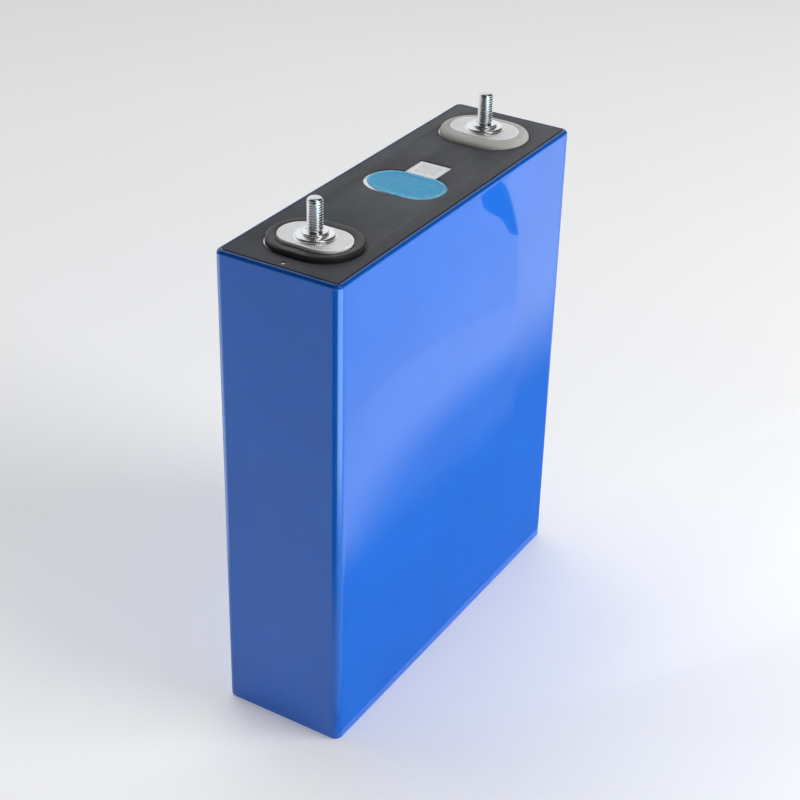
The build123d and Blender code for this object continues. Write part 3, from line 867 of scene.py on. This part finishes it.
def base_profile(low):
    """Radius and height of the stud's base: weld foot, disc, boss and the relief inside."""
    shape = WELD_FOOT + rounded_edge(*DISC_EDGE) + DISC_TOP + rounded_edge(*BOSS_EDGE) + BOSS_TOP
    return [(r * MM, low + z * MM) for r, z in shape]


def weld_waver(low):
    """Ripples of the laser weld round the disc's foot."""
    def waver(radius, z, turn):
        if radius < DISC_RADIUS or z < low + 0.05 * MM:
            return radius
        beat = abs(math.sin(turn * WELD_BEATS + 0.6 * math.sin(5 * turn)))
        return radius - WELD_RIPPLE * beat
    return waver


PITCH = 1.0 * MM
CREST, ROOT = 3.0 * MM, 2.66 * MM
STUD_TIP = 1.5 * MM
NECK = 2.62 * MM
STUD_RING_STEP = 0.07 * MM


def stud_surface(side):
    """An M6 stud with a rolled helical thread, a rounded tip and a plain pressed root."""
    low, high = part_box(f"{side}_stud")
    base_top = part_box(f"{side}_stud_base")[1].z
    x = (low.x + high.x) / 2
    tip = STUD_TIP
    start = base_top + 0.9 * MM

    def waver(radius, z, turn):
        if not start - PITCH < z < high.z:
            return radius
        wave = abs(((z / PITCH - turn / (2 * math.pi)) % 1.0) * 2 - 1)
        depth = np.clip((wave - 0.16) / 0.66, 0, 1)
        depth = depth * depth * (3 - 2 * depth)
        depth *= np.clip((z - start) / (0.8 * PITCH), 0, 1)
        thread = CREST - (CREST - ROOT) * depth
        return min(radius, thread)

    profile = [(0.4 * MM, low.z), (2.78 * MM, low.z), (2.8 * MM, base_top - 0.3 * MM), (NECK, base_top)]
    profile += [(NECK, base_top + 0.5 * MM), (2.72 * MM, base_top + 0.62 * MM)]
    for z in np.arange(base_top + 0.72 * MM, high.z - tip, STUD_RING_STEP):
        profile.append((CREST, z))
    for t in np.linspace(0, math.pi / 2, 16):
        profile.append((CREST - tip + tip * math.cos(t), high.z - tip + tip * math.sin(t) * 0.93))
    for share in (0.75, 0.5, 0.25, 0.08):
        profile.append((tip * share, high.z - 0.105 * MM * share ** 2))
    return turned(profile, x, 72, waver, closed=False)


for side in SIDES:
    tone = "black" if side == "negative" else "grey"
    base_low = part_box(f"{side}_stud_base")[0].z
    x = insulator_size(side)[0].x
    piece(f"{side}_insulator", *loft(insulator_rings(side), closed=True), f"insulator_{tone}",
          f"{side}_upper_insulator", sharp=45)
    piece(f"{side}_plate", *loft(plate_rings(side), closed=True), "terminal_aluminium",
          f"{side}_terminal_plate", sharp=38)
    piece(f"{side}_stud_foot", *turned(base_profile(base_low), x, 272, weld_waver(base_low)),
          "stud_base_aluminium", f"{side}_stud_base", sharp=50)
    piece(f"{side}_threaded_stud", *stud_surface(side), "stud_steel", f"{side}_stud", sharp=60)


# ---- Studio ----
scene = bpy.context.scene
scene.view_settings.view_transform = "Standard"
CAMERA_PLACE = Vector((-0.5344, -0.3194, 0.4774))
CAMERA_AIM = Vector((0.0, 0.0, 0.1075))
CAMERA_ROLL = math.radians(1.4)
CAMERA_LENS = 79.0
FLOOR_RADIUS = 9.0
FLOOR_DROP = 0.05 * MM
# About what a glossy surface sees of the bare floor, for the cards to fade into
FLOOR_GLOW, FACE_FLOOR_GLOW = 0.8, 0.82
WALL_RADIUS, WALL_HEIGHT, WALL_MIDDLE = 8.9, 8.0, 3.9
WORLD_DIM, WORLD_BRIGHT = 0.025, 0.95


def staged(name, mesh, material):
    made = bpy.data.objects.new(name, mesh)
    mesh.materials.append(material)
    scene.collection.objects.link(made)
    return made


def floor_finish():
    f = Finish("studio_floor", Roughness=0.7, Specular_IOR_Level=0.2)
    f.set("Base Color", f.mix(f.spread(f.grain(0.5)), (0.89, 0.89, 0.895), (0.91, 0.91, 0.91)))
    f.set("Emission Color", (1.0, 1.0, 1.0))
    # The lamps hardly reach the far floor, which has a little more light of its own.
    distance = f.length(f.axis(0), f.axis(1))
    f.set("Emission Strength", f.fit(distance, 1.3, 4.0, 0.22, 0.66))
    return f.material


def floor_mesh():
    """A wide disc, just under the cell."""
    work = bmesh.new()
    bmesh.ops.create_circle(work, cap_ends=True, segments=96, radius=FLOOR_RADIUS)
    bmesh.ops.translate(work, verts=work.verts, vec=(0, 0, -FLOOR_DROP))
    mesh = bpy.data.meshes.new("studio_floor")
    work.to_mesh(mesh)
    work.free()
    return mesh


staged("studio_floor", floor_mesh(), floor_finish())


def soft_light(name, place, aim, size, power, seen_by):
    """An area light that the camera never sees; seen_by limits it to diffuse or glossy surfaces."""
    light = bpy.data.lights.new(name, "AREA")
    light.shape = "RECTANGLE"
    light.size, light.size_y = size
    light.energy = power
    made = bpy.data.objects.new(name, light)
    made.location = place
    made.rotation_euler = (Vector(aim) - Vector(place)).to_track_quat("-Z", "Y").to_euler()
    scene.collection.objects.link(made)
    made.visible_camera = False
    made.visible_diffuse = seen_by != "glossy"
    made.visible_glossy = seen_by != "diffuse"


soft_light("key_softbox", (0.45, -1.45, 0.60), (0, 0, 0.12), (1.0, 0.7), 23.0, "diffuse")
soft_light("top_softbox", (0.1, 0.45, 1.6), (0, 0, 0.2), (1.2, 1.2), 6.6, "diffuse")
soft_light("left_softbox", (-1.5, -0.1, 0.7), (0, 0, 0.12), (0.9, 0.7), 1.6, "diffuse")
soft_light("stud_softbox", (-0.16, -0.62, 0.95), (-0.06, 0, 0.21), (0.34, 1.25), 2.2, "glossy")


def seen_in_front_face(x, drop):
    """The floor point that the camera sees mirrored at a point of the wide front face."""
    face_y = -HALF_WIDTH
    z = FILM_HIGH.z - drop
    mirrored = Vector((CAMERA_PLACE.x, 2 * face_y - CAMERA_PLACE.y, CAMERA_PLACE.z))
    ray = Vector((x, face_y, z)) - mirrored
    return mirrored + ray * (mirrored.z / -ray.z)


def reflected_card(name, outline, height):
    """A card that lies on the floor and that only glossy surfaces see. Gives its finish."""
    mesh = bpy.data.meshes.new(name)
    mesh.from_pydata([(x, y, height) for x, y in outline], [], [tuple(range(len(outline)))])
    f = Finish(name, Base_Color=(0.0, 0.0, 0.0), Roughness=1.0, Specular_IOR_Level=0.0)
    f.set("Emission Color", (0.97, 0.985, 1.0))
    made = staged(name, mesh, f.material)
    made.visible_camera = made.visible_diffuse = False
    made.visible_transmission = made.visible_shadow = False
    return f


def on_floor(outline):
    return [tuple(seen_in_front_face(x * MM, drop * MM).xy) for x, drop in outline]


# The surroundings mirrored in the front face. Outlines and arcs are (place along the face, drop
# below its top) in mm, as the camera sees them there.
FIN_LEFT = [(7, -8), (10.5, 2), (14.3, 9), (20.5, 13.4), (28, 17.8), (33, 22.8), (38, 29), (45.3, 32.7)]
FIN_RIGHT = [(45.3, 32.7), (43, 25), (39.3, 17.8), (34.3, 9), (29.3, 2.8), (24, -8)]
FACE_CARD = [(-110, -60), (125, -60), (125, 200), (-110, 200)]
LIGHT_SIDE = FIN_RIGHT[::-1] + [(47, 50), (49, 72), (52, 126), (125, 126), (125, -60), (24, -60)]


PALE_ARC = [(-81, 61), (-43, 52), (53, 67)]
DEEP_ARC = [(-81, 116), (5, 88), (74, 92)]


def beyond_arc(f, arc):
    """How far towards the cell a place lies from the arc through three places seen in the front face."""
    xs, ys = zip(*on_floor(arc))
    square, slope, level = (float(c) for c in np.polyfit(xs, ys, 2))
    x = f.math("MINIMUM", f.math("MAXIMUM", f.axis(0), xs[0]), xs[2])
    rise = f.times(f.math("ADD", f.times(x, square), slope), x)
    return f.math("SUBTRACT", f.axis(1), f.math("ADD", rise, level))


def within_face(f, strength):
    """The strength where the front face mirrors a card in the picture, and the floor's own beyond."""
    start = seen_in_front_face(0, 0)
    camera_y = -2 * HALF_WIDTH - CAMERA_PLACE.y
    spread = f.math("DIVIDE", f.math("SUBTRACT", f.axis(1), camera_y), -HALF_WIDTH - camera_y)
    x = f.math("ADD", CAMERA_PLACE.x, f.math("DIVIDE", f.math("SUBTRACT", f.axis(0), CAMERA_PLACE.x), spread))
    side = f.fit(x, 122 * MM, 92 * MM)
    above = f.fit(f.axis(1), seen_in_front_face(0, -60 * MM).y, start.y)
    inside = f.times(side, above)
    f.set("Emission Strength", f.fit(inside, 0.0, 1.0, FACE_FLOOR_GLOW, strength))


def face_card():
    """Pale like the floor, a little paler from the middle down, then dim towards the foot."""
    f = reflected_card("face_card", on_floor(FACE_CARD), 0.5 * MM)

    def by_drop(low, high, out_low, out_high):
        levels = [seen_in_front_face(0, drop * MM).y for drop in (low, high)]
        return f.fit(f.axis(1), *levels, out_low, out_high)

    band = f.fit(beyond_arc(f, PALE_ARC), -6 * MM, 4 * MM, 0.0, 0.17)
    paler = f.math("ADD", by_drop(30, 46, 0.96, 1.04), band)
    upper = f.times(paler, f.fit(beyond_arc(f, DEEP_ARC), -16 * MM, 12 * MM, 1.0, 0.34))
    within_face(f, f.times(upper, by_drop(106, 130, 1.0, 0.5)))


def dark_card():
    f = reflected_card("dark_card", on_floor(FIN_LEFT + FIN_RIGHT[1:]), 1.0 * MM)
    f.set("Emission Strength", 0.14)


def light_card():
    f = reflected_card("light_card", on_floor(LIGHT_SIDE), 1.0 * MM)
    f.set("Emission Color", (1.0, 0.95, 0.72))
    levels = [seen_in_front_face(0, drop * MM).y for drop in (118, 66)]
    within_face(f, f.fit(f.axis(1), *levels, 0.2, 1.3))


face_card()
dark_card()
light_card()

# What the upright corners mirror, on the floor before them. Bearings are in degrees from -X towards
# -Y, and reaches in metres, both from the middle of the corner's rounding.
NEAR_CORNER = Vector((-HALF_LENGTH + CORNER, -HALF_WIDTH + CORNER))
LEFT_CORNER = Vector((-HALF_LENGTH + CORNER, HALF_WIDTH - CORNER))


def fan_card(name, corner, bearings, reaches):
    """A card between two bearings and two reaches. Gives its finish, and a place's bearing and reach."""
    first, last = bearings
    near, far = reaches
    outline = []
    for bearing, reach in ((first, near), (first, far), ((first + last) / 2, far), (last, far), (last, near)):
        turn = math.radians(bearing)
        outline.append((corner.x - reach * math.cos(turn), corner.y - reach * math.sin(turn)))
    f = reflected_card(name, outline, 1.5 * MM)
    x = f.math("SUBTRACT", corner.x, f.axis(0))
    y = f.math("SUBTRACT", corner.y, f.axis(1))
    return f, f.math("ARCTAN2", y, x), f.length(x, y)


def aside(f, bearing, middle, inner, outer, low, high):
    """High within inner degrees of the middle bearing, falling to low at outer degrees."""
    off = f.math("ABSOLUTE", f.math("SUBTRACT", bearing, math.radians(middle)))
    return f.fit(off, math.radians(outer), math.radians(inner), low, high)


def dark_wedge():
    f, bearing, reach = fan_card("dark_wedge", NEAR_CORNER, (-27, 43), (0.03, 0.62))
    fade = f.times(f.fit(reach, 0.03, 0.15), f.fit(reach, 0.62, 0.36))
    fade = f.times(fade, aside(f, bearing, 8, 26, 35, 0.0, 1.0))
    f.set("Emission Strength", f.fit(fade, 0.0, 1.0, FLOOR_GLOW, 0.07))


def bright_strip():
    f, bearing, reach = fan_card("bright_strip", NEAR_CORNER, (43, 122), (0.10, 0.95))
    f.set("Emission Color", (0.62, 0.90, 1.0))
    strength = aside(f, bearing, 80, 26, 40, 1.4, 5.2)
    fade = f.times(f.fit(reach, 0.10, 0.26, 0.1, 1.0), f.fit(reach, 0.95, 0.36))
    f.set("Emission Strength", f.fit(fade, 0.0, 1.0, FLOOR_GLOW, strength))


def left_strip():
    f, bearing, reach = fan_card("left_strip", LEFT_CORNER, (-103, -38), (0.05, 0.7))
    f.set("Emission Color", (0.85, 0.95, 1.0))
    strength = aside(f, bearing, -70, 8, 32, 0.8, 2.5)
    fade = f.times(f.fit(reach, 0.05, 0.16), f.fit(reach, 0.7, 0.4))
    f.set("Emission Strength", f.fit(fade, 0.0, 1.0, FLOOR_GLOW, strength))


dark_wedge()
bright_strip()
left_strip()


def backdrop():
    """A pale wall far behind the floor, for low views."""
    work = bmesh.new()
    sizes = {"radius1": WALL_RADIUS, "radius2": WALL_RADIUS, "depth": WALL_HEIGHT}
    wall = bmesh.ops.create_cone(work, segments=96, **sizes)["verts"]
    bmesh.ops.translate(work, verts=wall, vec=(0, 0, WALL_MIDDLE))
    mesh = bpy.data.meshes.new("backdrop")
    work.to_mesh(mesh)
    work.free()
    f = Finish("backdrop", Base_Color=(0.0, 0.0, 0.0), Roughness=1.0, Specular_IOR_Level=0.0)
    f.set("Emission Color", (0.97, 0.98, 1.0))
    f.set("Emission Strength", 0.84)
    made = staged("backdrop", mesh, f.material)
    made.visible_diffuse = made.visible_glossy = made.visible_shadow = made.visible_transmission = False


backdrop()


def world_light():
    """Soft surroundings: bright behind the cell and overhead, dim to the left and in front."""
    world = bpy.data.worlds.new("studio")
    scene.world = world
    world.use_nodes = True
    tree = world.node_tree
    background = tree.nodes["Background"]
    coordinates = tree.nodes.new("ShaderNodeTexCoord")
    parts = []
    for direction, low, high in (((0.6, 0.8, 0), 0.28, 0.68), ((0.6, 0, 1.0), -0.3, 0.3)):
        towards = tree.nodes.new("ShaderNodeVectorMath")
        towards.operation = "DOT_PRODUCT"
        towards.inputs[1].default_value = direction
        tree.links.new(coordinates.outputs["Generated"], towards.inputs[0])
        side = tree.nodes.new("ShaderNodeMapRange")
        side.interpolation_type = "SMOOTHSTEP"
        side.inputs["From Min"].default_value = low
        side.inputs["From Max"].default_value = high
        tree.links.new(towards.outputs["Value"], side.inputs["Value"])
        parts.append(side.outputs["Result"])
    both = tree.nodes.new("ShaderNodeMath")
    both.operation = "MULTIPLY"
    for socket, part in zip(both.inputs, parts):
        tree.links.new(part, socket)
    strength = tree.nodes.new("ShaderNodeMapRange")
    strength.inputs["To Min"].default_value = WORLD_DIM
    strength.inputs["To Max"].default_value = WORLD_BRIGHT
    tree.links.new(both.outputs[0], strength.inputs["Value"])
    tree.links.new(strength.outputs["Result"], background.inputs["Strength"])
    background.inputs["Color"].default_value = (0.97, 0.985, 1.0, 1.0)


world_light()


def add_camera():
    data = bpy.data.cameras.new("camera")
    data.lens = CAMERA_LENS
    data.sensor_width = 36.0
    data.clip_start = 0.01
    data.clip_end = 50.0
    camera = bpy.data.objects.new("camera", data)
    look = (CAMERA_AIM - CAMERA_PLACE).to_track_quat("-Z", "Y").to_matrix().to_4x4()
    camera.matrix_world = Matrix.Translation(CAMERA_PLACE) @ look @ Matrix.Rotation(CAMERA_ROLL, 4, "Z")
    scene.collection.objects.link(camera)
    bpy.context.scene.camera = camera


add_camera()
